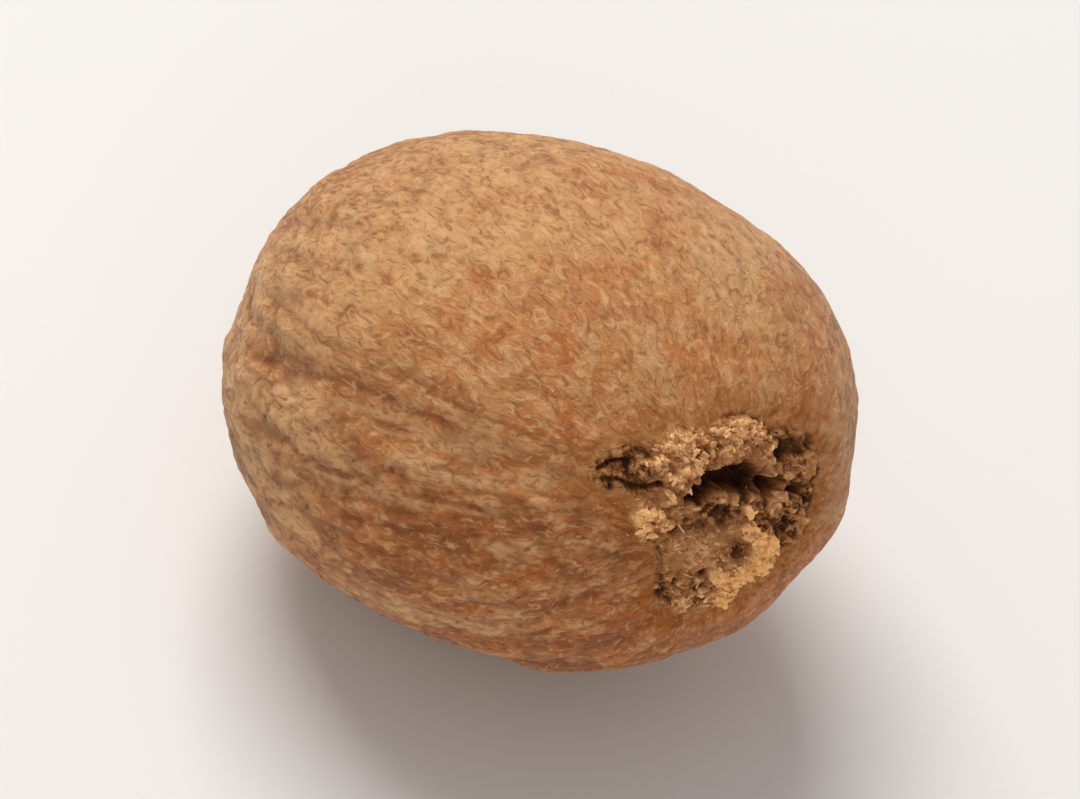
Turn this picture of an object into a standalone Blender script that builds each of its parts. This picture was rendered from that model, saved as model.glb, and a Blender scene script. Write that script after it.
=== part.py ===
"""A whole dried nutmeg, lying on its side on a small flat spot: one solid seed.

The seed is an ovoid a little wider than it is high. Its pale, crumbly scar (the hilum) sits
obliquely on the +X end, with a torn hollow in it. A shallow groove (the raphe) runs from the
scar round to a dimple (the chalaza) at the other end. Low folds run from end to end.
Units are metres, +Z is up, and the origin is under the middle of the seed, on the ground.
"""

import math

import bmesh
import bpy
from mathutils import Matrix, Vector, noise

MM = 0.001

# The smooth ovoid, before its tilt and its relief.
LENGTH = 28.6 * MM
WIDTH = 23.6 * MM
HEIGHT = 21.3 * MM
MEAN_RADIUS = (LENGTH + WIDTH + HEIGHT) / 6
TILT = math.radians(10)  # the scarred end is raised by this much
FLAT_DEPTH = 0.28 * MM  # how much is worn off the underside to make the spot it rests on

# The mesh: lines from scar to dimple, and rings round them, which crowd towards both.
MERIDIANS = 96
RINGS = 52
RING_CROWDING = 0.35

# Where the scar's middle looks, from the long axis: to the side, then up.
HILUM_YAW = math.radians(-26)
HILUM_PITCH = math.radians(12)
RAPHE_TURN = math.radians(58)  # from straight above the scar, round its axis, to the raphe

# Broad swellings and flats of the ovoid: yaw and pitch in degrees, and height.
SWELLINGS = (
    (165, 30, 0.45 * MM),
    (-170, 15, -0.40 * MM),
    (-130, -20, 0.35 * MM),
    (-100, -35, -0.20 * MM),
    (-50, -40, 0.10 * MM),
    (50, 20, 0.20 * MM),
    (85, 35, -0.15 * MM),
    (120, -10, 0.25 * MM),
    (160, -35, -0.25 * MM),
    (60, -30, -0.20 * MM),
)
SWELLING_SPREAD = math.radians(20)

# The raphe: a valley between two low lips, which drifts a little round the seed.
# It is deepest from near the scar to the seed's waist, and faint from there to the dimple.
RAPHE_HALF_WIDTH = 0.85 * MM
RAPHE_DEPTH = 0.32 * MM
RAPHE_LIP = 0.10 * MM
RAPHE_DRIFT = 0.09  # how much it turns for each degree that it lies nearer the scar than here:
RAPHE_STRAIGHT = math.radians(119)
RAPHE_START = math.radians(22)
RAPHE_WAIST = (math.radians(80), math.radians(122))
RAPHE_FAINT = 0.25
RAPHE_END = math.radians(168)

# The chalaza: a dimple with a low rim.
CHALAZA_RADIUS = math.radians(11)
CHALAZA_DEPTH = 0.75 * MM
CHALAZA_RIM = 0.16 * MM

# Folds that run from end to end, broad ones and finer ones.
BROAD_FOLD_SPACING = 4.6 * MM
BROAD_FOLD_HEIGHT = 0.15 * MM
FINE_FOLD_SPACING = 2.0 * MM
FINE_FOLD_HEIGHT = 0.10 * MM
FOLD_STRETCH = 2.8  # a fold is this many times as long as it is wide

# The scar: a ragged, crumbly patch with a raised edge and torn hollows in it.
# It runs out into a tail along one side of the raphe, and is cut back on the other.
SCAR_RADIUS = math.radians(21.5)
SCAR_EDGE = math.radians(3.5)
SCAR_TAIL = 0.28
SCAR_TAIL_TURN = math.radians(-15)
SCAR_TAIL_WIDTH = math.radians(18)
SCAR_CUT = 0.45
SCAR_CUT_TURN = math.radians(47)
SCAR_CUT_WIDTH = math.radians(40)
SCAR_RAGGEDNESS = 0.25
SCAR_RAG_SPACING = 2.4 * MM
SCAR_RIM_HEIGHT = 0.16 * MM
SCAR_SINK = 0.10 * MM
CRUMB_SPACING = 1.15 * MM
CRUMB_HEIGHT = 0.30 * MM
# Torn hollows: the yaw and pitch in degrees of the points along each, half-width, depth.
HOLLOWS = (
    (((-34, 24), (-26, 25), (-19, 22), (-12, 15)), math.radians(3.4), 1.45 * MM),
    (((-11, 23), (-3, 19)), math.radians(2.8), 0.50 * MM),
)
HOLLOW_UNEVENNESS = 0.8
# Mounds of old crust left standing in the scar: yaw and pitch in degrees, spread, height.
CRUST_MOUNDS = (
    (-26, 0, math.radians(6), 0.40 * MM),
    (-41, 19, math.radians(4), 0.30 * MM),
    (-33, 32, math.radians(6), 0.36 * MM),
    (-17, 31, math.radians(5), 0.30 * MM),
    (-10, 3, math.radians(6), 0.14 * MM),
)

SKIN_COLOUR = (0.43, 0.215, 0.095, 1.0)
SKIN_ROUGHNESS = 0.68


def direction(yaw, pitch):
    """The unit vector at this yaw from +X and this pitch above the horizontal, in radians."""
    flat = math.cos(pitch)
    return Vector((flat * math.cos(yaw), flat * math.sin(yaw), math.sin(pitch)))


def direction_deg(yaw, pitch):
    return direction(math.radians(yaw), math.radians(pitch))


def smoothstep(low, high, value):
    t = min(max((value - low) / (high - low), 0.0), 1.0)
    return t * t * (3 - 2 * t)


def bell(distance, spread):
    """1 at no distance, falling smoothly to nothing past about two spreads."""
    return math.exp(-((distance / spread) ** 2))


HILUM = direction(HILUM_YAW, HILUM_PITCH)
ABOVE_HILUM = (Vector((0, 0, 1)) - HILUM * HILUM.z).normalized()
TO_RAPHE = Matrix.Rotation(RAPHE_TURN, 3, HILUM) @ ABOVE_HILUM
ACROSS_RAPHE = HILUM.cross(TO_RAPHE)


def seed_angles(way):
    """A direction's angle from the hilum, and its turn round the hilum's axis from the raphe."""
    return way.angle(HILUM), math.atan2(way.dot(ACROSS_RAPHE), way.dot(TO_RAPHE))


def end_to_end(polar, turn, spacing):
    """Where to read noise so that its features are spacing apart and run from end to end."""
    ring = MEAN_RADIUS * math.sqrt(max(math.sin(polar), 0.0))
    along = MEAN_RADIUS * polar / FOLD_STRETCH
    return Vector((ring * math.cos(turn), ring * math.sin(turn), along)) / spacing


def swellings(way):
    height = 0.0
    for yaw, pitch, rise in SWELLINGS:
        off = way.angle(direction_deg(yaw, pitch))
        height += rise * math.exp(-((off / SWELLING_SPREAD) ** 2) / 2)
    return height


def raphe(polar, turn):
    """The groove's valley and its two lips, fading out at the scar and at the dimple."""
    middle = RAPHE_DRIFT * (polar - RAPHE_STRAIGHT)
    off = abs(turn - middle) * MEAN_RADIUS * math.sin(polar)
    fade = smoothstep(RAPHE_START, RAPHE_START + 0.15, polar)
    fade *= 1 - (1 - RAPHE_FAINT) * smoothstep(*RAPHE_WAIST, polar)
    fade *= 1 - smoothstep(RAPHE_END - 0.3, RAPHE_END, polar)
    valley = RAPHE_DEPTH * bell(off, RAPHE_HALF_WIDTH)
    lips = RAPHE_LIP * bell(off - 2 * RAPHE_HALF_WIDTH, RAPHE_HALF_WIDTH)
    return fade * (lips - valley)


def chalaza(polar):
    off = math.pi - polar
    rim = CHALAZA_RIM * bell(off - 1.3 * CHALAZA_RADIUS, 0.5 * CHALAZA_RADIUS)
    return rim - CHALAZA_DEPTH * bell(off, 0.6 * CHALAZA_RADIUS)


def folds(polar, turn):
    """Rounded folds with narrow valleys between them, absent in the scar."""
    broad = noise.noise(end_to_end(polar, turn, BROAD_FOLD_SPACING))
    fine = noise.noise(end_to_end(polar, turn, FINE_FOLD_SPACING))
    height = BROAD_FOLD_HEIGHT * (2 * broad) - FINE_FOLD_HEIGHT * (1 - 2 * abs(fine))
    return height * smoothstep(0.8 * SCAR_RADIUS, 1.4 * SCAR_RADIUS, polar)


def off_line(way, points):
    """How far, in radians, a direction lies from the nearest run of a line of directions."""
    nearest = math.inf
    for start, end in zip(points, points[1:]):
        run = end - start
        share = min(max((way - start).dot(run) / run.length_squared, 0.0), 1.0)
        nearest = min(nearest, (way - start - run * share).length)
    return nearest


def scar(way, polar, turn):
    """The crumbly patch: sunk, with a raised ragged edge, mounds of crust and the hollows."""
    ragged = 1 + SCAR_TAIL * bell(turn - SCAR_TAIL_TURN, SCAR_TAIL_WIDTH)
    ragged -= SCAR_CUT * bell(turn - SCAR_CUT_TURN, SCAR_CUT_WIDTH)
    ragged += SCAR_RAGGEDNESS * noise.noise(way * (MEAN_RADIUS / SCAR_RAG_SPACING))
    edge = SCAR_RADIUS * ragged
    inside = 1 - smoothstep(edge - SCAR_EDGE, edge + SCAR_EDGE, polar)
    height = SCAR_RIM_HEIGHT * bell(polar - edge + SCAR_EDGE, SCAR_EDGE)
    if inside == 0:
        return height
    crumbs = noise.noise(way * (MEAN_RADIUS / CRUMB_SPACING))
    height += inside * (2 * CRUMB_HEIGHT * crumbs - SCAR_SINK)
    for yaw, pitch, spread, rise in CRUST_MOUNDS:
        height += inside * rise * bell(way.angle(direction_deg(yaw, pitch)), spread)
    for places, half_width, depth in HOLLOWS:
        off = off_line(way, [direction_deg(*place) for place in places])
        height -= inside * depth * (1 + HOLLOW_UNEVENNESS * crumbs) * bell(off, half_width)
    return height


def seed_point(way):
    """The point of the seed's surface in this direction, before the seed is tilted."""
    smooth = Vector((way.x * LENGTH, way.y * WIDTH, way.z * HEIGHT)) / 2
    outward = Vector((way.x / LENGTH, way.y / WIDTH, way.z / HEIGHT)).normalized()
    polar, turn = seed_angles(way)
    height = swellings(way) + raphe(polar, turn) + chalaza(polar)
    height += folds(polar, turn) + scar(way, polar, turn)
    return smooth + outward * height


def clear_scene():
    for obj in list(bpy.data.objects):
        bpy.data.objects.remove(obj)


def new_collection(name):
    collection = bpy.data.collections.new(name)
    bpy.context.scene.collection.children.link(collection)
    return collection


def skin_material():
    material = bpy.data.materials.new("nutmeg_skin")
    material.use_nodes = True
    shader = material.node_tree.nodes["Principled BSDF"]
    shader.inputs["Base Color"].default_value = SKIN_COLOUR
    shader.inputs["Roughness"].default_value = SKIN_ROUGHNESS
    shader.inputs["Metallic"].default_value = 0.0
    material.diffuse_color = SKIN_COLOUR
    return material


def seed_mesh():
    """A ball whose poles are the scar and the dimple, shaped into the seed and set down."""
    bm = bmesh.new()
    bmesh.ops.create_uvsphere(bm, u_segments=MERIDIANS, v_segments=RINGS, radius=1)
    for vert in bm.verts:
        ball = vert.co.normalized()
        share = math.acos(min(max(ball.z, -1.0), 1.0)) / math.pi
        polar = math.pi * share - RING_CROWDING / 2 * math.sin(2 * math.pi * share)
        turn = math.atan2(ball.y, ball.x)
        sideways = TO_RAPHE * math.cos(turn) + ACROSS_RAPHE * math.sin(turn)
        way = HILUM * math.cos(polar) + sideways * math.sin(polar)
        vert.co = seed_point(way.normalized())
    bmesh.ops.rotate(bm, verts=bm.verts, matrix=Matrix.Rotation(-TILT, 3, "Y"))
    low = Vector([min(v.co[axis] for v in bm.verts) for axis in range(3)])
    high = Vector([max(v.co[axis] for v in bm.verts) for axis in range(3)])
    middle = (low + high) / 2
    to_ground = Vector((-middle.x, -middle.y, -low.z - FLAT_DEPTH))
    bmesh.ops.translate(bm, verts=bm.verts, vec=to_ground)
    bmesh.ops.recalc_face_normals(bm, faces=bm.faces)
    mesh = bpy.data.meshes.new("nutmeg")
    bm.to_mesh(mesh)
    bm.free()
    mesh.shade_smooth()
    return mesh


def ground_cutter(collection):
    """A block under the ground plane: what it takes off the seed leaves the flat spot."""
    bpy.ops.mesh.primitive_cube_add(size=2 * LENGTH, location=(0, 0, -LENGTH))
    cutter = bpy.context.active_object
    cutter.name = "ground_cutter"
    for owner in list(cutter.users_collection):
        owner.objects.unlink(cutter)
    collection.objects.link(cutter)
    cutter.hide_render = True
    cutter.display_type = "WIRE"
    return cutter


def build():
    clear_scene()
    parts = new_collection("nutmeg")
    cutter = ground_cutter(new_collection("cutters"))
    seed = bpy.data.objects.new("nutmeg", seed_mesh())
    seed.data.materials.append(skin_material())
    parts.objects.link(seed)
    flat_spot = seed.modifiers.new("flat_spot", "BOOLEAN")
    flat_spot.operation = "DIFFERENCE"
    flat_spot.object = cutter


build()
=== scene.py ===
"""The looks of a whole nutmeg: its finely wrinkled skin, and the torn, crumbly scar at one end.

Lengths are millimetres and angles radians in this script's sums. Meshes are made in metres.
"""

import math

import bmesh
import bpy
import numpy as np
from mathutils import Matrix, Quaternion, Vector, noise
from mathutils.bvhtree import BVHTree
from mathutils.kdtree import KDTree


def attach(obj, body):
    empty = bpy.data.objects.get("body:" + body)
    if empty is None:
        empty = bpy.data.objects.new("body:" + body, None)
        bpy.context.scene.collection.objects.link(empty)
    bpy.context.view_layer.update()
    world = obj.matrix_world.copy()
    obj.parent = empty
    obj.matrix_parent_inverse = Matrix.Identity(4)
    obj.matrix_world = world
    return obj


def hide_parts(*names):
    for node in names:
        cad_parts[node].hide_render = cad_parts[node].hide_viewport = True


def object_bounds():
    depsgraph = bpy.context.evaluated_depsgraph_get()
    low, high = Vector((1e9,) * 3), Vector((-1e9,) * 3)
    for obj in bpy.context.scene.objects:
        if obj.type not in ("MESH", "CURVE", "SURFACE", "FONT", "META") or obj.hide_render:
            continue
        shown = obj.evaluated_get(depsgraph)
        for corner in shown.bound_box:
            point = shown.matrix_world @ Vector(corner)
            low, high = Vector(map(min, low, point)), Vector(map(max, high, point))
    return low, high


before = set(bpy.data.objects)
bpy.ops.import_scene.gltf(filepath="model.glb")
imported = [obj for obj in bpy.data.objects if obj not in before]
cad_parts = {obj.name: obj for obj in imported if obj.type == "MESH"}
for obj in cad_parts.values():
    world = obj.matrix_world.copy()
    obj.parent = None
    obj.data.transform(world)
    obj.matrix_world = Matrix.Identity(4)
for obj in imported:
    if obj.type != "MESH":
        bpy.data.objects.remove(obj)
SOLID_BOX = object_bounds()

MM = 0.001
SOLID = BVHTree.FromObject(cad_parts["nutmeg"], bpy.context.evaluated_depsgraph_get())

# ---- The seed's own lines, as the solid has them -------------------------------------------

TILT = math.radians(10)
HILUM_YAW = math.radians(-26)
HILUM_PITCH = math.radians(12)
RAPHE_TURN = math.radians(58)
RAPHE_DRIFT = 0.09
RAPHE_STRAIGHT = math.radians(119)
WORN_DEPTH = 0.28  # taken off the underside, so the seed's own middle is half this below its box's

MIDDLE = np.array((SOLID_BOX[0] + SOLID_BOX[1]) / 2) / MM - (0, 0, WORN_DEPTH / 2)
MEAN_RADIUS = float(np.mean(np.array(SOLID_BOX[1] - SOLID_BOX[0]))) / MM / 2


def direction(yaw, pitch):
    """The unit vector at this yaw and pitch on the seed, once the seed is tilted."""
    flat = math.cos(pitch)
    way = Vector((flat * math.cos(yaw), flat * math.sin(yaw), math.sin(pitch)))
    return Matrix.Rotation(-TILT, 3, "Y") @ way


TOP = direction(0, math.pi / 2)
HILUM = direction(HILUM_YAW, HILUM_PITCH)
SCAR_UP = (TOP - HILUM * TOP.dot(HILUM)).normalized()
SCAR_SIDE = HILUM.cross(SCAR_UP)
TO_RAPHE = Matrix.Rotation(RAPHE_TURN, 3, HILUM) @ SCAR_UP
ACROSS_RAPHE = HILUM.cross(TO_RAPHE)

# ---- Arrays of points on the seed -----------------------------------------------------------


def smoothstep(low, high, value):
    t = np.clip((value - low) / (high - low), 0, 1)
    return t * t * (3 - 2 * t)


def bell(distance, spread):
    return np.exp(-((distance / spread) ** 2))


def blend(low, high, share):
    return low + (high - low) * share


def seed_angles(ways):
    """Each direction's angle from the scar, and its turn round the scar's axis from the raphe."""
    polar = np.arccos(np.clip(ways @ np.array(HILUM), -1, 1))
    return polar, np.arctan2(ways @ np.array(ACROSS_RAPHE), ways @ np.array(TO_RAPHE))


def end_to_end(polar, turn):
    """Coordinates in millimetres in which all that grows on the seed runs from end to end."""
    ring = MEAN_RADIUS * np.sqrt(np.maximum(np.sin(polar), 0))
    return np.column_stack([ring * np.cos(turn), ring * np.sin(turn), MEAN_RADIUS * polar])


def noise_at(points, spacing, stretch=1.0, shift=0.0):
    """Smooth noise from about -1 to 1, its features spacing apart and stretch times as long."""
    scaled = points / (spacing, spacing, spacing * stretch) + shift
    return np.array([noise.noise(point) for point in scaled.tolist()])


def warped(points, reach, spacing, stretch=1.0):
    """The points pushed about, so that the noise read there bends and curls."""
    push = [noise_at(points, spacing, stretch, shift) for shift in (11.3, 23.7, 37.1)]
    return points + reach * np.column_stack(push)


def creases(points, spacing, stretch, sharpness, shift=0.0):
    """1 along narrow winding creases, falling to 0 on the rounded ground between them."""
    value = np.abs(noise_at(points, spacing, stretch, shift))
    return np.clip(1 - sharpness * value, 0, 1)


def cells(points, spacing):
    """For each point: the distances to the two nearest cell middles, and its cell's own number."""
    near, gap, number = [], [], []
    for point in (points / spacing).tolist():
        distances, middles = noise.voronoi(point)
        near.append(distances[0])
        gap.append(distances[1] - distances[0])
        number.append(noise.cell(middles[0] * 7.31))
    return np.array(near) * spacing, np.array(gap) * spacing, (np.array(number) + 1) / 2


def neighbour_mean(values, edges, counts):
    """The mean of the values at each point's neighbours along the edges."""
    total = np.bincount(edges[:, 0], values[edges[:, 1]], len(values))
    total += np.bincount(edges[:, 1], values[edges[:, 0]], len(values))
    return total / counts


def smoothed(values, edges, rounds):
    counts = np.maximum(np.bincount(edges.ravel(), minlength=len(values)), 1)
    for _ in range(rounds):
        values = (values + neighbour_mean(values, edges, counts)) / 2
    return values


def solid_radii(ways):
    """How far the solid's surface is from its middle in each direction."""
    start = Vector(MIDDLE * MM)
    reach = [SOLID.ray_cast(start, way)[3] for way in ways.tolist()]
    return np.array(reach) / MM


def points_of(mesh):
    flat = np.empty(len(mesh.vertices) * 3)
    mesh.vertices.foreach_get("co", flat)
    return flat.reshape(-1, 3)


def normals_of(mesh):
    flat = np.empty(len(mesh.vertices) * 3)
    mesh.vertex_normals.foreach_get("vector", flat)
    return flat.reshape(-1, 3)


def edges_of(mesh):
    flat = np.empty(len(mesh.edges) * 2, np.int32)
    mesh.edges.foreach_get("vertices", flat)
    return flat.reshape(-1, 2)


def set_points(mesh, points):
    """Puts the mesh's points there, given in millimetres, none of them under the floor."""
    points = points * MM
    points[:, 2] = np.maximum(points[:, 2], 0)
    mesh.vertices.foreach_set("co", points.ravel())
    mesh.update()


def set_number(mesh, name, values):
    mesh.attributes.new(name, "FLOAT", "POINT").data.foreach_set("value", values)


def set_vector(mesh, name, values):
    mesh.attributes.new(name, "FLOAT_VECTOR", "POINT").data.foreach_set("vector", values.ravel())


def new_piece(name, mesh, material):
    """Links a piece, smooth-shaded, that rides on the seed's body and has its record slot."""
    piece = bpy.data.objects.new(name, mesh)
    bpy.context.scene.collection.objects.link(piece)
    mesh.materials.append(material)
    mesh.shade_smooth()
    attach(piece, "root")
    return piece


# ---- The scar's chart: degrees to the side, towards the raphe, and degrees up ----------------

# The scar's edge, going round it, as (side, up) points.
SCAR_EDGE = (
    (19, 19.5), (12, 21.2), (6, 20.8), (0, 20.3), (-5, 17.5), (-10.5, 19), (-14.5, 16.5), (-16.5, 11.5),
    (-20, 9.4), (-24.5, 7), (-26, 2), (-21, -5.5), (-17, -12), (-9.5, -13.5), (-4, -16), (2, -18), (9, -17),
    (13, -13), (12.6, -7), (11, 0), (14.5, 3), (15, 8), (11.5, 10.2), (16, 14), (19.3, 16.6),
)
# Each entry of these lists is (side, up, radius).
TAN_CRUST = (
    (0.3, 17.3, 2.8), (0, 13.3, 3.2), (-4, 14.3, 2.4), (3.6, 10.6, 1.7), (5.5, 15.5, 1.8), (5.4, 12.6, 1.3),
    (6.4, 9.0, 1.4), (-9, 13.5, 2.6), (-12, 14.2, 2.2), (-14.0, 12.6, 1.6),
)
FINGER = ((-14.8, 11, 1.2), (-15.2, 8.5, 1.2), (-14.8, 6, 1.2), (-13.8, 3.8, 1.0))
GOLD_CRUST = (
    (-6.6, -4.5, 1.4), (-8, -7.5, 1.9), (-6.6, -10.5, 2.2), (-3, -11, 1.9), (-0.5, -12, 2.1), (1.2, -15, 1.6),
    (-6.4, 1, 0.9), (-5.8, -2.0, 1.1), (1.4, -9.6, 1.4),
)
# The last spot, at (8.4, 3.8), is a painted highlight: a glint painted pale and golden into the crust; the other spots
# are the crust's own colour.
ORANGE_CRUST_AND_PAINTED_HIGHLIGHT = ((12.2, 7, 2.2), (12.4, 4.4, 1.8), (9.4, 6, 1.6), (8.4, 3.8, 1.0))
DULL_CRUST = ((4.5, -3.5, 3.4), (7.5, -1, 2.2), (2, -6.5, 2.2))
PALE_GRAINS = ((5.5, -11.5, 3.6), (7.5, -14, 2.4), (3, -14.5, 2.2))
MOTTLED_CRUST = ((2, 4.5, 2.2), (-2, 3, 2.8), (-6.5, 2.5, 2.8), (-10.5, -0.5, 2.6), (-14, -3, 2.6))
DARK_GRAINS = (
    (-12, -6, 3.5), (-15, -10, 4), (-18, -4, 4), (-22, 0, 3), (-17, 9, 3), (11.6, -8.5, 2.4), (10.5, -12.5, 2.2),
    (11.5, 16.8, 2.6), (14.8, 17.3, 1.8), (8.4, 14.4, 1.4),
)
CAVITY = (
    (2.9, 7.4, 1.1), (0.6, 7.4, 1.8), (-2.5, 8, 2.3), (-6, 7.4, 2.9), (-9.5, 5.5, 3.1),
    (-13, 2, 2.6), (-16.5, -1, 1.8),
)
SIDE_CAVITY = ((-17.6, 6.4, 2.0), (-20.8, 5.4, 2.3), (-24, 4.4, 1.8))
DARK_SPOTS = ((7.6, 2.5, 0.8), (16.3, 14.4, 0.6), (-3.4, -6.6, 1.3), (3.6, -8.4, 0.8), (8.4, -9, 0.8))
# Lines of (side, up) points, each with its half-width and how dark it is.
CRACKS = (
    (((17.4, 18.2), (14.7, 18.9), (11.8, 18.6)), 0.42, 0.65),
    (((16.6, 16.4), (13.4, 14.0), (9.4, 11.8), (6.6, 11.8)), 0.62, 0.85),
    (((-11.3, 17.6), (-13.6, 16.2), (-15.4, 13.6)), 0.45, 0.55),
    (((9.6, 19.6), (7.6, 18.4), (6.8, 16.6)), 0.40, 0.5),
    (((10.9, 0), (11.6, -5), (11.6, -11)), 0.90, 0.40),
)


def chart(polar, turn):
    """Where directions lie on the scar's chart."""
    from_up = turn + RAPHE_TURN
    return np.degrees(polar) * np.sin(from_up), np.degrees(polar) * np.cos(from_up)


def from_spots(side, up, spots):
    """1 at the middle of any of the spots, falling off past its radius."""
    share = np.zeros_like(side)
    for spot_side, spot_up, radius in spots:
        share = np.maximum(share, bell(np.hypot(side - spot_side, up - spot_up), radius))
    return share


def off_line(side, up, line):
    """The distance, in degrees, from a line of points on the chart."""
    nearest = np.full_like(side, 1e9)
    for (side_0, up_0), (side_1, up_1) in zip(line, line[1:]):
        run_side, run_up = side_1 - side_0, up_1 - up_0
        share = ((side - side_0) * run_side + (up - up_0) * run_up) / (run_side**2 + run_up**2)
        share = np.clip(share, 0, 1)
        nearest = np.minimum(nearest, np.hypot(side - side_0 - share * run_side, up - up_0 - share * run_up))
    return nearest


def inside_scar(side, up, flat):
    """Degrees from the scar's ragged edge, positive inside it."""
    rim = SCAR_EDGE + SCAR_EDGE[:1]
    inside = np.zeros(len(side), bool)
    for (side_0, up_0), (side_1, up_1) in zip(rim, rim[1:]):
        crossing = side_0 + (up - up_0) * (side_1 - side_0) / (up_1 - up_0)
        inside ^= ((up_0 > up) != (up_1 > up)) & (side < crossing)
    rags = 1.5 * noise_at(flat, 1.5) + 0.9 * noise_at(flat, 0.55)
    return np.where(inside, 1, -1) * off_line(side, up, rim) + rags


# ---- The seed's level without its scar -------------------------------------------------------

LEVEL_FROM = (28, 42)  # degrees from the scar's middle within which the level is read
LEVEL_BLEND = (25, 33)  # where it gives way to the solid's own surface


def level_terms(polar, turn):
    """The terms of a cubic surface over the scar's chart."""
    side, up = chart(polar, turn)
    powers = [(i, j) for i in range(4) for j in range(4 - i)]
    return np.column_stack([(side / 40) ** i * (up / 40) ** j for i, j in powers])


def read_level():
    """The cubic that passes through the skin all round the scar."""
    polar, turn = np.meshgrid(np.radians(np.arange(*LEVEL_FROM, 2)), np.radians(np.arange(0, 360, 4)))
    polar, turn = polar.ravel(), turn.ravel()
    sideways = np.outer(np.cos(turn), TO_RAPHE) + np.outer(np.sin(turn), ACROSS_RAPHE)
    ways = np.outer(np.cos(polar), HILUM) + np.sin(polar)[:, None] * sideways
    return np.linalg.lstsq(level_terms(polar, turn), solid_radii(ways), rcond=None)[0]


def base_radii(edges, ways, polar, turn, rounds):
    """The solid's radii, evened out, with the scar's own relief taken away."""
    radii = smoothed(solid_radii(ways), edges, rounds)
    share = smoothstep(*LEVEL_BLEND, np.degrees(polar))
    level = level_terms(np.minimum(polar, math.radians(LEVEL_FROM[1])), turn) @ LEVEL
    return blend(level, radii, share)


LEVEL = read_level()

# ---- The skin --------------------------------------------------------------------------------

# Pale raised veins beside the raphe: turn from it, where each starts and ends, all in degrees.
VEINS = ((-4, 50, 112), (-9, 80, 114), (7, 62, 96), (13, 24, 64), (21, 40, 96))
VEIN_HEIGHT = 0.05
VEIN_HALF_WIDTH = 0.13
FURROW_DEPTH = 0.14
FURROW_HALF_WIDTH = 0.26
FURROW_BEND = (78, 114, 5)  # between these degrees from the scar it drifts this far off the raphe
SKIN_SPLITS = 7  # halvings of a ball's six faces: 98,304 quads
SKIN_ROUNDS = 26  # of smoothing
SKIN_SUNK = 2.6  # how far the skin dips under the scar
PATCH_OVERLAP = 5.0  # degrees by which the scar's own mesh reaches out over the skin


def roughness_of_place(polar, turn):
    """How coarsely the skin is wrinkled: least above the raphe, most below it and at the far end."""
    below = smoothstep(math.radians(-12), math.radians(20), turn)
    below *= 1 - 0.45 * smoothstep(math.radians(95), math.radians(150), turn)
    behind = smoothstep(math.radians(60), math.radians(130), -turn)
    far = smoothstep(math.radians(80), math.radians(112), polar)
    return np.clip(0.42 + 0.55 * below + 0.20 * behind + 0.30 * far, 0, 1)


def ruddiness(polar, turn):
    """How red the skin is: sandy on the back above the raphe, reddest by the scar and below the raphe."""
    below = smoothstep(math.radians(-45), math.radians(35), turn)
    below *= 1 - 0.5 * smoothstep(math.radians(110), math.radians(175), turn)
    below *= 1 - 0.5 * smoothstep(math.radians(80), math.radians(125), polar)
    near = 1 - smoothstep(math.radians(20), math.radians(95), polar)
    middle = bell(polar - math.radians(58), math.radians(22)) * bell(turn + 0.5, 0.6)
    return np.clip(0.08 + 0.58 * below + 0.42 * near + 0.22 * middle, 0, 1)


def streakiness(polar, turn):
    """How strongly the skin is drawn into long streaks: most beside and below the raphe."""
    beside = smoothstep(math.radians(-45), math.radians(0), turn)
    beside *= 1 - smoothstep(math.radians(75), math.radians(150), turn)
    far = smoothstep(math.radians(95), math.radians(140), polar)
    return np.clip(0.12 + 0.80 * beside + 0.30 * far, 0, 1)


def off_raphe(polar, turn, coords, offset=0):
    """Millimetres from a line that wavers along the raphe, offset degrees of turn from it."""
    middle = RAPHE_DRIFT * (polar - RAPHE_STRAIGHT) + math.radians(offset)
    wobble = 0.16 * noise_at(coords, 3.1, 2.0, 5.5) + 0.10 * noise_at(coords, 0.8, 2.0, 1.5)
    return (turn - middle) * MEAN_RADIUS * np.sin(polar) + wobble


def furrow(polar, turn, coords):
    """1 along the narrow furrow in the raphe's middle, broken here and there."""
    start, end, bend = FURROW_BEND
    bend = bend * smoothstep(start, end, np.degrees(polar))
    line = bell(off_raphe(polar, turn - np.radians(bend), coords), FURROW_HALF_WIDTH)
    line = np.maximum(line, 0.6 * bell(off_raphe(polar, turn, coords, -6.5), 0.7 * FURROW_HALF_WIDTH))
    shown = smoothstep(math.radians(24), math.radians(32), polar)
    shown *= 1 - 0.8 * smoothstep(math.radians(95), math.radians(135), polar)
    return line * shown * smoothstep(-0.7, 0.1, noise_at(coords, 1.9, 2.5, 8.1))


def flanks(polar, turn):
    """Painted light and shade on the raphe's two flanks, which catch the eye: (painted shade, darker, above it near
    the scar, where its slope turns from the light; painted light, paler, below it, where it faces up).
    """
    off = np.degrees(turn - RAPHE_DRIFT * (polar - RAPHE_STRAIGHT))
    along = np.degrees(polar)
    shaded_flank = bell(off + 8, 6) * smoothstep(24, 36, along) * (1 - smoothstep(58, 84, along))
    pale = bell(off - 9, 7) * smoothstep(30, 60, along) * (1 - smoothstep(88, 110, along))
    return shaded_flank, pale


def veins(polar, turn, coords):
    """The height of the fine veins that run along the raphe, below 0 in the furrows beside them."""
    along = np.degrees(polar)
    height = np.zeros_like(polar)
    for offset, start, end in VEINS:
        off = off_raphe(polar, turn, coords, offset)
        shown = smoothstep(start, start + 6, along) * (1 - smoothstep(end - 12, end, along))
        shown *= smoothstep(-0.35, 0.25, noise_at(coords, 1.6, 2.0, offset))
        line = bell(off, VEIN_HALF_WIDTH) - 0.6 * bell(off + 2.2 * VEIN_HALF_WIDTH, VEIN_HALF_WIDTH)
        height += shown * line
    return height


def pits(coords, amount):
    """1 in the middle of small scattered pits."""
    near, _, number = cells(warped(coords, 0.3, 1.5), 1.05)
    return bell(near, 0.11 + 0.07 * number) * (number > 1 - amount)


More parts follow.
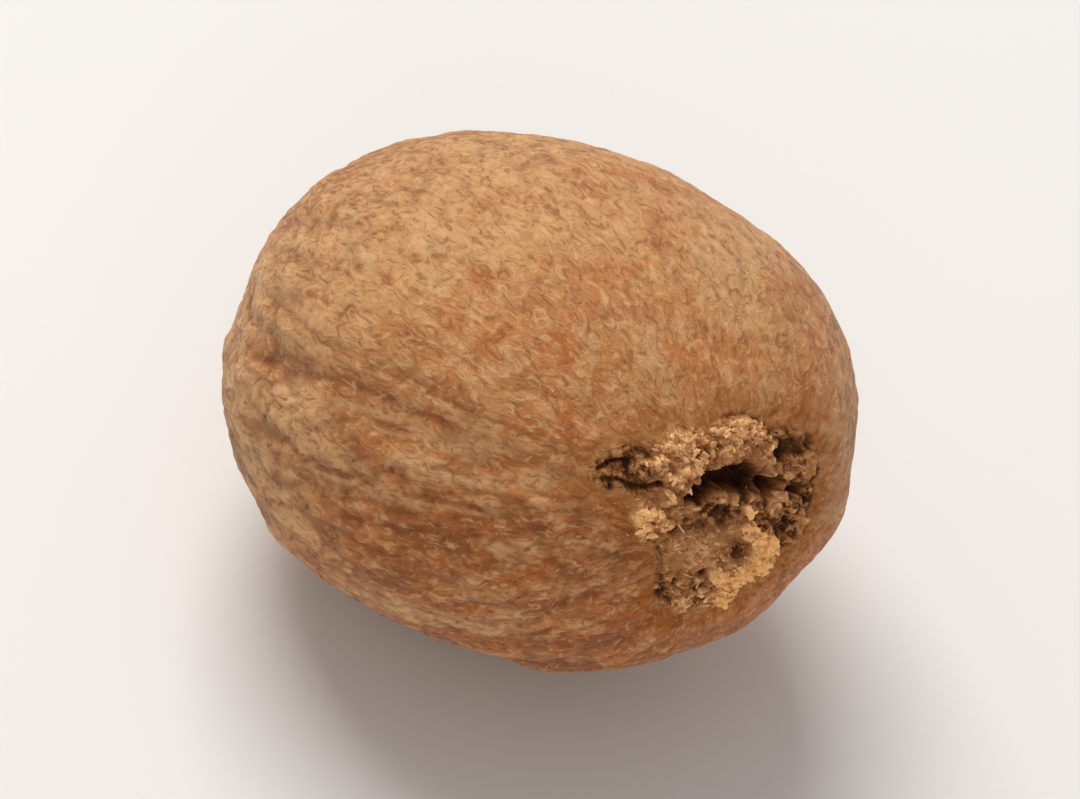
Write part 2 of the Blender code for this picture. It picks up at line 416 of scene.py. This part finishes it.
def skin_fields(polar, turn, coords):
    """The skin's relief in millimetres, and by name what its material reads."""
    rough = roughness_of_place(polar, turn)
    bent = warped(coords, 0.45, 1.3)
    folds = noise_at(coords, 2.3, 2.6, 6.6)
    drawn = warped(coords, 0.35, 2.2)
    streaks = 0.7 * noise_at(drawn, 0.90, 7.0, 3.4) + 0.8 * noise_at(drawn, 2.0, 7.0, 5.8)
    streaks *= streakiness(polar, turn)
    furrowed = furrow(polar, turn, coords)
    broad = creases(bent, 1.5, 2.2, 2.4)
    middling = creases(bent, 0.80, 1.8, 2.4, 4.1)
    fine = creases(bent, 0.48, 1.5, 2.2, 9.2)
    pitted = pits(coords, 0.04 + 0.22 * rough**2) * (0.35 + 0.65 * rough)
    vein = veins(polar, turn, coords)

    relief = 0.14 * rough**2 * folds + 0.17 * streaks - FURROW_DEPTH * furrowed
    relief -= rough * (0.075 * broad**2 + 0.065 * middling**2 + 0.035 * fine**2)
    relief += 0.035 * noise_at(coords, 0.7, 1.5, 2.2) - 0.04 * pitted + VEIN_HEIGHT * vein
    # The crease values darken the skin where the creases sink it: partly the creases' own darker colour, partly
    # painted shade.
    crease = rough * (0.40 * broad**2 + 0.50 * middling**2 + 0.35 * fine**2)
    shades = {"crease": crease, "pit": pitted, "vein": np.clip(vein, -1, 1), "rough": rough}
    shades["ruddy"] = ruddiness(polar, turn)
    shaded_flank, pale = flanks(polar, turn)
    # Besides the real streaks, this also carries the raphe's painted light (paler, below it) and painted shade
    # (darker, above it).
    shades["streak_and_flank_light"] = streaks + 0.35 * pale - 0.30 * shaded_flank
    # The material darkens the skin along the furrow as painted shade.
    shades["furrow"] = furrowed
    return relief, shades


def fine_ball(name, splits):
    """A ball of equal quads, the middle of its +Z face in the scar, as (mesh, directions)."""
    bpy.ops.mesh.primitive_cube_add(size=2)
    cube = bpy.context.active_object
    split = cube.modifiers.new("split", "SUBSURF")
    split.subdivision_type = "SIMPLE"
    split.levels = splits
    split.render_levels = splits
    mesh = bpy.data.meshes.new_from_object(cube.evaluated_get(bpy.context.evaluated_depsgraph_get()))
    mesh.name = name
    bpy.data.objects.remove(cube)
    ways = np.tan(points_of(mesh) * math.pi / 4)
    ways /= np.linalg.norm(ways, axis=1, keepdims=True)
    axes = np.array([TO_RAPHE, ACROSS_RAPHE, HILUM])
    return mesh, ways @ axes


def make_skin(material):
    mesh, ways = fine_ball("nutmeg_skin", SKIN_SPLITS)
    polar, turn = seed_angles(ways)
    coords = end_to_end(polar, turn)
    set_points(mesh, MIDDLE + ways * base_radii(edges_of(mesh), ways, polar, turn, SKIN_ROUNDS)[:, None])

    relief, shades = skin_fields(polar, turn, coords)
    inside = inside_scar(*chart(polar, turn), ways * MEAN_RADIUS)
    relief -= SKIN_SUNK * smoothstep(-PATCH_OVERLAP + 1, 0, inside)
    set_points(mesh, points_of(mesh) / MM + normals_of(mesh) * relief[:, None])

    shades["scar_edge"] = smoothstep(-9, 0, inside)
    set_vector(mesh, "seed", coords)
    for name, values in shades.items():
        set_number(mesh, name, values)
    skin = new_piece("nutmeg_skin", mesh, material)
    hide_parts("nutmeg")
    return skin


# ---- The scar --------------------------------------------------------------------------------

CRUST_MIDDLE = (-3.5, 1.5)  # on the scar's chart
CRUST_REACH = 36.5  # degrees from there to the rim of the crust's mesh
CRUST_CELLS = 304
CRUST_ROUNDS = 170  # of smoothing, which even it out as far as the skin
CRUST_SUNK = 0.45  # how far the rim lies under the skin
CRUST_LIFT = 0.02  # how far it stands over the skin where the two overlap
CAP_DEPTH = 4.5  # from the skin's level to the point that closes the mesh
CRUMB_SIZE = 0.50
CAVITY_DEPTH = 1.15


def crust_fields(side, up, flat):
    """The crust's height over the skin's level, its tone from dark to pale, and how golden it is."""
    bent = warped(flat, 0.30, 0.7)
    _, gap, number = cells(bent, CRUMB_SIZE)
    _, small_gap, small_number = cells(warped(flat, 0.15, 0.4), CRUMB_SIZE / 2)
    patchy = smoothstep(-0.4, 0.3, noise_at(flat, 1.3, 1, 7.7))
    gaps = bell(gap, 0.06) * patchy
    small_gaps = bell(small_gap, 0.035)
    curls = creases(warped(flat, 0.5, 0.6), 0.80, 1, 2.3, 8.8)
    fine_curls = creases(bent, 0.40, 1, 2.2, 3.7)

    wobble = 1.2 * noise_at(flat, 0.8, 1, 3.3) + 0.6 * noise_at(flat, 0.35, 1, 1.1)
    near_side, near_up = side + wobble, up + wobble
    tan = smoothstep(0, 0.85, from_spots(near_side, near_up, TAN_CRUST))
    finger = from_spots(near_side, near_up, FINGER)
    ridge = from_spots(near_side, near_up, GOLD_CRUST)
    gold = smoothstep(0.08, 0.65, ridge)
    orange_and_painted_highlight = smoothstep(0, 0.8, from_spots(near_side, near_up, ORANGE_CRUST_AND_PAINTED_HIGHLIGHT))
    dull = from_spots(side, up, DULL_CRUST)
    pale = from_spots(side, up, PALE_GRAINS)
    grains = from_spots(side, up, DARK_GRAINS)
    mottled = from_spots(near_side, near_up, MOTTLED_CRUST)
    dark = from_spots(near_side, near_up, DARK_SPOTS)
    cavity = smoothstep(0.25, 0.75, from_spots(near_side, near_up, CAVITY))
    cavity *= 1 - 0.9 * smoothstep(0.3, 0.8, np.maximum(finger, 0.6 * gold))
    side_cavity = smoothstep(0.25, 0.8, from_spots(near_side, near_up, SIDE_CAVITY))
    crack = np.zeros_like(side)
    for line, half_width, darkness in CRACKS:
        off = off_line(side + 0.5 * wobble, up - 0.5 * wobble, line)
        crack = np.maximum(crack, darkness * bell(off, half_width))

    crumbly = 0.55 + 0.45 * (tan + finger + gold + orange_and_painted_highlight + pale + grains + mottled)
    crumbly = np.clip(crumbly - 0.25 * dull, 0.35, 1)
    height = 0.14 * (number - 0.5) - 0.08 * gaps + 0.06 * (small_number - 0.5) - 0.03 * small_gaps
    height += 0.15 * curls**1.5 + 0.06 * fine_curls
    height *= crumbly + 0.7 * gold
    height += 0.03 * noise_at(flat, 0.22) + 0.018 * noise_at(flat, 0.11) - 0.05
    height += 0.24 * tan + 0.24 * finger + 0.50 * ridge + 0.24 * orange_and_painted_highlight + 0.08 * pale
    height -= CAVITY_DEPTH * cavity + 0.40 * side_cavity + 0.30 * crack + 0.28 * dark
    height += cavity * (0.22 * noise_at(flat, 0.45, 1, 4.4) + 0.10 * noise_at(flat, 0.2, 1, 6.1))

    tone = 0.43 + 0.38 * np.maximum(tan, finger) + 0.64 * gold + 0.54 * orange_and_painted_highlight
    tone += 0.26 * pale + 0.20 * dull - 0.06 * grains - 0.24 * mottled
    tone += crumbly * (0.26 * (number - 0.5) + 0.20 * (small_number - 0.5) + 0.30 * (curls - 0.35))
    tone -= 0.26 * np.maximum(grains, pale) * (small_number < 0.35)
    tone += 0.30 * mottled * smoothstep(0.55, 0.95, curls)
    # Painted shade: the tone is darkened in the gaps between the crust's cells, where shade falls between the crumbs.
    tone *= (1 - 0.50 * gaps * crumbly * (1 - 0.2 * gold)) * (1 - 0.30 * small_gaps * crumbly)
    tone *= (1 - 0.93 * cavity) * (1 - 0.62 * side_cavity) * (1 - 0.9 * crack) * (1 - 0.8 * dark)
    golden = np.clip(gold + orange_and_painted_highlight + 0.25 * tan, 0, 1)
    return height, np.clip(tone, 0, 1), golden


def crust_disc(name):
    """A round sheet of quads over the scar, as (mesh, side, up)."""
    bm = bmesh.new()
    bmesh.ops.create_grid(bm, x_segments=CRUST_CELLS, y_segments=CRUST_CELLS, size=1)
    rim = [edge for edge in bm.edges if edge.is_boundary]
    point = bm.verts.new((0, 0, 0))
    for edge in rim:
        bm.faces.new((*edge.verts, point))
    bmesh.ops.recalc_face_normals(bm, faces=bm.faces)
    mesh = bpy.data.meshes.new(name)
    bm.to_mesh(mesh)
    bm.free()
    across, along = points_of(mesh)[:, 0], points_of(mesh)[:, 1]
    side = CRUST_MIDDLE[0] + CRUST_REACH * across * np.sqrt(1 - along**2 / 2)
    up = CRUST_MIDDLE[1] + CRUST_REACH * along * np.sqrt(1 - across**2 / 2)
    return mesh, side, up


def chart_ways(side, up):
    """The directions of places on the scar's chart."""
    polar, from_up = np.radians(np.hypot(side, up))[:, None], np.arctan2(side, up)[:, None]
    sideways = np.sin(from_up) * np.array(SCAR_SIDE) + np.cos(from_up) * np.array(SCAR_UP)
    return np.cos(polar) * np.array(HILUM) + np.sin(polar) * sideways


def make_crust(material):
    mesh, side, up = crust_disc("scar_crust")
    ways = chart_ways(side, up)
    polar, turn = seed_angles(ways)
    flat = ways * MEAN_RADIUS
    coords = end_to_end(polar, turn)
    edges = edges_of(mesh)
    edges = edges[(edges != len(side) - 1).all(1)]
    radii = base_radii(edges, ways, polar, turn, CRUST_ROUNDS)
    inside = inside_scar(side, up, flat)
    relief, shades = skin_fields(polar, turn, coords)
    height, tone, golden = crust_fields(side, up, flat)
    height = blend(relief + CRUST_LIFT, height, smoothstep(-1.2, 0.8, inside))
    height -= (CRUST_SUNK + CRUST_LIFT) * (1 - smoothstep(-PATCH_OVERLAP - 1.5, -PATCH_OVERLAP + 0.3, inside))
    height[-1] = -CAP_DEPTH
    set_points(mesh, MIDDLE + ways * (radii + height)[:, None])

    shades |= {"tone": tone, "golden": golden, "skin": 1 - smoothstep(-0.9, 1.0, inside)}
    shades["scar_edge"] = smoothstep(-9, 0, inside)
    set_vector(mesh, "seed", coords)
    for name, values in shades.items():
        set_number(mesh, name, values)
    new_piece("scar_crust", mesh, material)
    likely = (np.clip(tone - 0.35, 0, 0.5) + 0.4 * golden) * smoothstep(0.3, 1.5, inside)
    likely[-1] = 0
    return points_of(mesh) / MM, normals_of(mesh), tone, golden, likely


# ---- Loose crumbs and torn fibres ------------------------------------------------------------

CRUMBS = 1100
CRUMB_RADII = (0.06, 0.24)
BIG_CRUMB = 0.16  # from this radius on, a crumb is made of finer faces
CRUMB_FLATS = 9  # planes that a ball is cut by to make a crumb
FIBRES = 170
FIBRE_POINTS = 9
FIBRE_STEP = 0.16
FIBRE_RADII = (0.03, 0.06)
FIBRE_SIDES = 6


class Pile:
    """Many small closed shapes gathered into one mesh, each with its own tone and gold."""

    def __init__(self):
        self.points, self.faces, self.tones, self.golds = [], [], [], []
        self.count = 0

    def add(self, points, faces, tones, golden):
        self.points.append(points)
        self.faces += (faces + self.count).tolist()
        self.tones.append(np.broadcast_to(tones, len(points)))
        self.golds.append(np.full(len(points), golden))
        self.count += len(points)

    def piece(self, name, material):
        points = np.concatenate(self.points)
        mesh = bpy.data.meshes.new(name)
        mesh.from_pydata(np.zeros_like(points).tolist(), [], self.faces)
        set_points(mesh, points)
        set_vector(mesh, "seed", points)
        set_number(mesh, "tone", np.clip(np.concatenate(self.tones), 0, 1))
        set_number(mesh, "golden", np.clip(np.concatenate(self.golds), 0, 1))
        return new_piece(name, mesh, material)


def ball_shape(splits):
    """(points, triangles) of a ball of radius 1."""
    bm = bmesh.new()
    bmesh.ops.create_icosphere(bm, subdivisions=splits, radius=1)
    points = np.array([vert.co[:] for vert in bm.verts])
    faces = np.array([[vert.index for vert in face.verts] for face in bm.faces])
    bm.free()
    return points, faces


def tube_faces(rings, sides):
    """Triangles of a tube of rings of points, closed by one more point at each end."""
    faces = []
    for ring in range(rings - 1):
        for side in range(sides):
            a, b = ring * sides + side, ring * sides + (side + 1) % sides
            faces += [(a, b, b + sides), (a, b + sides, a + sides)]
    first, last = rings * sides, rings * sides + 1
    for side in range(sides):
        after = (side + 1) % sides
        faces.append((after, side, first))
        faces.append(((rings - 1) * sides + side, (rings - 1) * sides + after, last))
    return np.array(faces)


def unit(vector):
    return vector / np.linalg.norm(vector)


def crumb_points(ball, radius, rng):
    """A broken, squashed crumb, turned at random."""
    flats = rng.normal(size=(CRUMB_FLATS, 3))
    flats /= np.linalg.norm(flats, axis=1, keepdims=True)
    facing = np.maximum(ball @ flats.T, 0.05)
    reach = np.minimum((rng.uniform(0.45, 0.95, CRUMB_FLATS) / facing).min(1), 1.15)
    reach += 0.16 * noise_at(ball, 0.5, 1, rng.uniform(0, 50))
    squash = (rng.uniform(0.9, 1.3), rng.uniform(0.40, 0.90), rng.uniform(0.25, 0.7))
    spin = Quaternion(unit(rng.normal(size=3)), rng.uniform(0, math.tau)).to_matrix()
    return (ball * reach[:, None] * squash * radius) @ np.array(spin)


def fibre_line(start, points, normals, tree, rng):
    """The points of a curling fibre that lies along the crust, arched over it."""
    outward = normals[start]
    way = unit(np.cross(outward, rng.normal(size=3)))
    curl = rng.uniform(-0.45, 0.45)
    arch = rng.uniform(0.03, 0.16)
    place, line = points[start], []
    for step in range(FIBRE_POINTS):
        share = step / (FIBRE_POINTS - 1)
        near = tree.find(place)[1]
        outward = normals[near]
        place = place + outward * np.dot(points[near] - place, outward)
        line.append(place + outward * (arch * math.sin(math.pi * share) + 0.01))
        turn = Quaternion(outward, curl + rng.normal() * 0.25)
        way = np.array(turn @ Vector(way))
        way = unit(way - outward * np.dot(way, outward))
        place = place + way * FIBRE_STEP
    line = np.array(line)
    line[1:-1] = (line[:-2] + 2 * line[1:-1] + line[2:]) / 4
    return line


def fibre_points(line, radius):
    """The points of a tube round the line, thin at both ends."""
    along = np.gradient(line, axis=0)
    along /= np.linalg.norm(along, axis=1, keepdims=True)
    across = np.cross(along, np.array(HILUM))
    across /= np.linalg.norm(across, axis=1, keepdims=True)
    over = np.cross(across, along)
    share = np.linspace(-1, 1, len(line))
    radii = radius * np.sqrt(1 - 0.85 * share**2)
    rings = []
    for place, a, b, r in zip(line, across, over, radii):
        for angle in np.arange(FIBRE_SIDES) * math.tau / FIBRE_SIDES:
            rings.append(place + r * (a * math.cos(angle) + b * math.sin(angle)))
    ends = [line[0] - along[0] * radii[0], line[-1] + along[-1] * radii[-1]]
    return np.array(rings + ends)


def make_crumbs(crust, material):
    """Crumbs and fibres, scattered most thickly where the crust is palest."""
    points, normals, tone, golden, likely = crust
    rng = np.random.default_rng(12)
    tree = KDTree(len(points))
    for index, point in enumerate(points.tolist()):
        tree.insert(point, index)
    tree.balance()
    pile = Pile()
    small_ball, big_ball = ball_shape(2), ball_shape(3)
    for start in rng.choice(len(points), CRUMBS, p=likely / likely.sum()):
        radius = blend(*CRUMB_RADII, rng.uniform() ** 2)
        ball, faces = small_ball if radius < BIG_CRUMB else big_ball
        crumb = crumb_points(ball, radius, rng)
        # Painted shade and light: each crumb's tone is darker towards its foot on the crust and paler towards its top.
        rise_for_painted_shade = crumb @ normals[start] / radius
        shade = 0.22 + 0.72 * tone[start] + rng.uniform(-0.15, 0.15) + 0.12 * rise_for_painted_shade
        pile.add(points[start] + crumb, faces, shade, golden[start])
    faces = tube_faces(FIBRE_POINTS, FIBRE_SIDES)
    for start in rng.choice(len(points), FIBRES, p=likely / likely.sum()):
        line = fibre_line(start, points, normals, tree, rng)
        shade = 0.45 + 0.50 * tone[start] + rng.uniform(-0.20, 0.20)
        pile.add(fibre_points(line, rng.uniform(*FIBRE_RADII)), faces, shade, golden[start])
    return pile.piece("scar_crumbs", material)


# ---- Materials -------------------------------------------------------------------------------


def colour(red, green, blue):
    """A linear colour from one given as it shows on a screen, 0 to 255."""
    shown = [value / 255 for value in (red, green, blue)]
    return tuple(v / 12.92 if v <= 0.04045 else ((v + 0.055) / 1.055) ** 2.4 for v in shown) + (1,)


class Shader:
    """A material's nodes, added one at a time."""

    def __init__(self, name, roughness, specular=0.25):
        self.material = bpy.data.materials.new(name)
        self.material.use_nodes = True
        self.tree = self.material.node_tree
        self.surface = self.tree.nodes["Principled BSDF"]
        self.surface.inputs["Roughness"].default_value = roughness
        self.surface.inputs["Specular IOR Level"].default_value = specular

    def set(self, socket, value):
        """Links the value to the socket if another node makes it, and writes it there if not."""
        if isinstance(value, bpy.types.NodeSocket):
            self.tree.links.new(value, socket)
        else:
            socket.default_value = value

    def add(self, kind, inputs, output=0, **settings):
        node = self.tree.nodes.new(kind)
        for name, value in settings.items():
            setattr(node, name, value)
        for name, value in inputs.items():
            self.set(node.inputs[name], value)
        return node.outputs[output]

    def attribute(self, name, output="Fac"):
        return self.add("ShaderNodeAttribute", {}, output, attribute_name=name)

    def noise(self, vector, scale, detail=3.0, roughness=0.55, distortion=0.0):
        inputs = {"Vector": vector, "Scale": scale, "Detail": detail, "Roughness": roughness, "Distortion": distortion}
        return self.add("ShaderNodeTexNoise", inputs, "Fac")

    def stretched(self, vector, along, shift=0.0):
        inputs = {"Vector": vector, "Scale": (1, 1, 1 / along), "Location": (shift, shift, shift)}
        return self.add("ShaderNodeMapping", inputs)

    def ramp(self, value, low, high, to_low=0.0, to_high=1.0):
        inputs = {"Value": value, "From Min": low, "From Max": high, "To Min": to_low, "To Max": to_high}
        return self.add("ShaderNodeMapRange", inputs, interpolation_type="SMOOTHSTEP")

    def math(self, operation, first, second):
        return self.add("ShaderNodeMath", {0: first, 1: second}, operation=operation)

    def mix(self, first, second, share, how="MIX"):
        inputs = {6: first, 7: second, 0: share}
        return self.add("ShaderNodeMix", inputs, 2, data_type="RGBA", blend_type=how)

    def bump(self, height, depth, strength=1.0, under=None):
        inputs = {"Height": height, "Distance": depth * MM, "Strength": strength}
        if under is not None:
            inputs["Normal"] = under
        return self.add("ShaderNodeBump", inputs)

    def finish(self, **sockets):
        for name, value in sockets.items():
            self.set(self.surface.inputs[name.replace("_", " ")], value)
        return self.material


TAN = colour(206, 154, 102)
SAND = colour(220, 174, 122)
RUST = colour(191, 113, 55)
BROWN = colour(142, 80, 37)
CREASE_BROWN = colour(108, 55, 20)
PIT_BROWN = colour(66, 33, 12)

CRUST_BLACK = colour(46, 21, 6)
CRUST_DARK = colour(96, 54, 24)
CRUST_BROWN = colour(180, 122, 74)
CRUST_PALE = colour(250, 198, 142)
CRUST_GOLD = colour(255, 198, 130)


SKIN_SHEEN = 0.12  # the dusty bloom that pales its rim


def skin_colour(shader, seed):
    """Patches of tan and rust under fine worm-like marks; also gives the marks themselves."""
    ruddy = shader.attribute("ruddy")
    patches = shader.noise(seed, 0.22, 3, 0.6, 0.4)
    patches = shader.math("ADD", patches, shader.ramp(ruddy, 0, 1, -0.20, 0.20))
    ground = shader.mix(TAN, RUST, shader.ramp(patches, 0.18, 0.80))
    mottle = shader.noise(shader.stretched(seed, 1.3, 3.0), 0.6, 4, 0.6, 0.6)
    ground = shader.mix(ground, BROWN, shader.ramp(mottle, 0.50, 0.76, 0, 0.50))
    ground = shader.mix(ground, SAND, shader.ramp(mottle, 0.50, 0.30, 0, 0.55))
    # Paled where this attribute is high and darkened where low: the real streaks, and the painted light and painted
    # shade of the raphe's two sides.
    streak_and_flank_light = shader.attribute("streak_and_flank_light")
    ground = shader.mix(ground, SAND, shader.ramp(streak_and_flank_light, 0.05, 0.50, 0, 0.55))
    ground = shader.mix(ground, BROWN, shader.ramp(streak_and_flank_light, -0.05, -0.50, 0, 0.60))
    # Painted shade: the skin is darkened along the furrow's bottom, where shade lies.
    ground = shader.mix(ground, BROWN, shader.ramp(shader.attribute("furrow"), 0.1, 1.0, 0, 0.55))
    worms = shader.noise(shader.stretched(seed, 1.8, 13.0), 1.9, 4, 0.62, 1.4)
    ground = shader.mix(ground, SAND, shader.ramp(worms, 0.51, 0.66, 0, 0.70))
    ground = shader.mix(ground, BROWN, shader.ramp(worms, 0.49, 0.34, 0, 0.60))
    specks = shader.noise(shader.stretched(seed, 1.3, 21.0), 3.4, 2, 0.5, 0.4)
    specks = shader.ramp(specks, 0.61, 0.73, 0, 0.60)
    specks = shader.math("MULTIPLY", specks, shader.ramp(shader.attribute("rough"), 0.4, 1.0, 0.35, 1.0))
    ground = shader.mix(ground, CREASE_BROWN, specks)
    # Darker in the creases: partly their own colour, partly painted shade.
    shown = shader.mix(ground, CREASE_BROWN, shader.ramp(shader.attribute("crease"), 0.08, 0.80, 0, 0.50))
    shown = shader.mix(shown, PIT_BROWN, shader.ramp(shader.attribute("pit"), 0.20, 0.8, 0, 0.55))
    vein = shader.attribute("vein")
    shown = shader.mix(shown, SAND, shader.ramp(vein, 0.15, 0.9, 0, 0.35))
    # Darker in the groove beside each vein: partly its own colour, partly painted shade.
    shown = shader.mix(shown, CREASE_BROWN, shader.ramp(vein, -0.1, -0.6, 0, 0.4))
    return shader.mix(shown, BROWN, shader.ramp(shader.attribute("scar_edge"), 0.1, 1.0, 0, 0.42)), worms


def skin_material():
    shader = Shader("nutmeg_skin", 0.7)
    seed = shader.attribute("seed", "Vector")
    shown, worms = skin_colour(shader, seed)
    grain = shader.noise(shader.stretched(seed, 1.5), 4.0, 4, 0.65, 0.8)
    normal = shader.bump(worms, 0.16, 0.9)
    normal = shader.bump(grain, 0.06, 0.8, normal)
    normal = shader.bump(shader.noise(seed, 12, 2, 0.6), 0.015, 0.6, normal)
    roughness = shader.ramp(grain, 0.3, 0.7, 0.62, 0.80)
    return shader.finish(
        Base_Color=shown, Roughness=roughness, Normal=normal, Sheen_Weight=SKIN_SHEEN, Sheen_Roughness=0.4
    )


def crust_material(name, with_skin):
    shader = Shader(name, 0.85, 0.15)
    seed = shader.attribute("seed", "Vector")
    grit = shader.noise(seed, 6.0, 3, 0.6)
    tone = shader.math("ADD", shader.attribute("tone"), shader.ramp(grit, 0.3, 0.7, -0.08, 0.08))
    shown = shader.mix(CRUST_BLACK, CRUST_DARK, shader.ramp(tone, 0.0, 0.20))
    shown = shader.mix(shown, CRUST_BROWN, shader.ramp(tone, 0.16, 0.46))
    shown = shader.mix(shown, CRUST_PALE, shader.ramp(tone, 0.44, 0.86))
    bright = shader.math("MULTIPLY", shader.attribute("golden"), shader.ramp(tone, 0.45, 0.95))
    shown = shader.mix(shown, CRUST_GOLD, bright)
    normal = shader.bump(grit, 0.05, 0.9)
    if with_skin:
        skin_shown, worms = skin_colour(shader, seed)
        shown = shader.mix(shown, skin_shown, shader.attribute("skin"))
        normal = shader.bump(worms, 0.10, 0.6, normal)
    normal = shader.bump(shader.noise(seed, 16, 2, 0.6), 0.02, 0.8, normal)
    return shader.finish(Base_Color=shown, Normal=normal)


# ---- Floor, lights and camera ----------------------------------------------------------------

VIEW_AZIMUTH = math.radians(23.2)
VIEW_ELEVATION = math.radians(49.5)
VIEW_ROLL = math.radians(8.3)
VIEW_DISTANCE = 289
LENS = 225
SENSOR_WIDTH = 36
FLOOR_SIZE = 3000


def plain_material(name, shown, roughness):
    material = bpy.data.materials.new(name)
    material.use_nodes = True
    surface = material.node_tree.nodes["Principled BSDF"]
    surface.inputs["Base Color"].default_value = shown
    surface.inputs["Roughness"].default_value = roughness
    return material


def make_floor():
    bpy.ops.mesh.primitive_plane_add(size=FLOOR_SIZE * MM)
    floor = bpy.context.active_object
    floor.name = "floor"
    floor.data.materials.append(plain_material("pale_floor", (0.80, 0.78, 0.76, 1), 0.6))


def towards_camera():
    flat = math.cos(VIEW_ELEVATION)
    return Vector((math.sin(VIEW_AZIMUTH) * flat, -math.cos(VIEW_AZIMUTH) * flat, math.sin(VIEW_ELEVATION)))


def make_camera():
    camera = bpy.data.objects.new("camera", bpy.data.cameras.new("camera"))
    bpy.context.scene.collection.objects.link(camera)
    back = towards_camera()
    camera.location = Vector(MIDDLE * MM) + back * VIEW_DISTANCE * MM
    camera.rotation_mode = "QUATERNION"
    camera.rotation_quaternion = (-back).to_track_quat("-Z", "Y") @ Quaternion((0, 0, 1), VIEW_ROLL)
    camera.data.lens = LENS
    camera.data.sensor_width = SENSOR_WIDTH
    camera.data.clip_start = 0.01
    camera.data.clip_end = 10
    bpy.context.scene.camera = camera


def area_light(name, right, away, up, distance, size, power, tint):
    """A square light in the direction right, away and up as the camera sees it."""
    forward = -towards_camera()
    forward = Vector((forward.x, forward.y, 0)).normalized()
    rightward = forward.cross(Vector((0, 0, 1)))
    way = (rightward * right + forward * away + Vector((0, 0, up))).normalized()
    light = bpy.data.objects.new(name, bpy.data.lights.new(name, "AREA"))
    light.data.size = size * MM
    light.data.energy = power
    light.data.color = tint
    light.location = Vector(MIDDLE * MM) + way * distance * MM
    light.rotation_euler = (-way).to_track_quat("-Z", "Y").to_euler()
    bpy.context.scene.collection.objects.link(light)


def make_lights():
    area_light("window", -0.25, 0.55, 0.80, 700, 420, 4.3, (1.0, 0.985, 0.96))
    area_light("fill", 0.15, -0.90, 0.32, 900, 700, 1.6, (1.0, 0.98, 0.96))
    world = bpy.data.worlds.new("studio")
    world.use_nodes = True
    world.node_tree.nodes["Background"].inputs["Color"].default_value = (1.0, 0.985, 0.97, 1)
    world.node_tree.nodes["Background"].inputs["Strength"].default_value = 0.40
    bpy.context.scene.world = world
    bpy.context.scene.view_settings.view_transform = "Standard"


make_camera()
make_lights()
make_floor()
make_skin(skin_material())
scar = make_crust(crust_material("scar_crust", True))
make_crumbs(scar, crust_material("scar_crumbs", False))
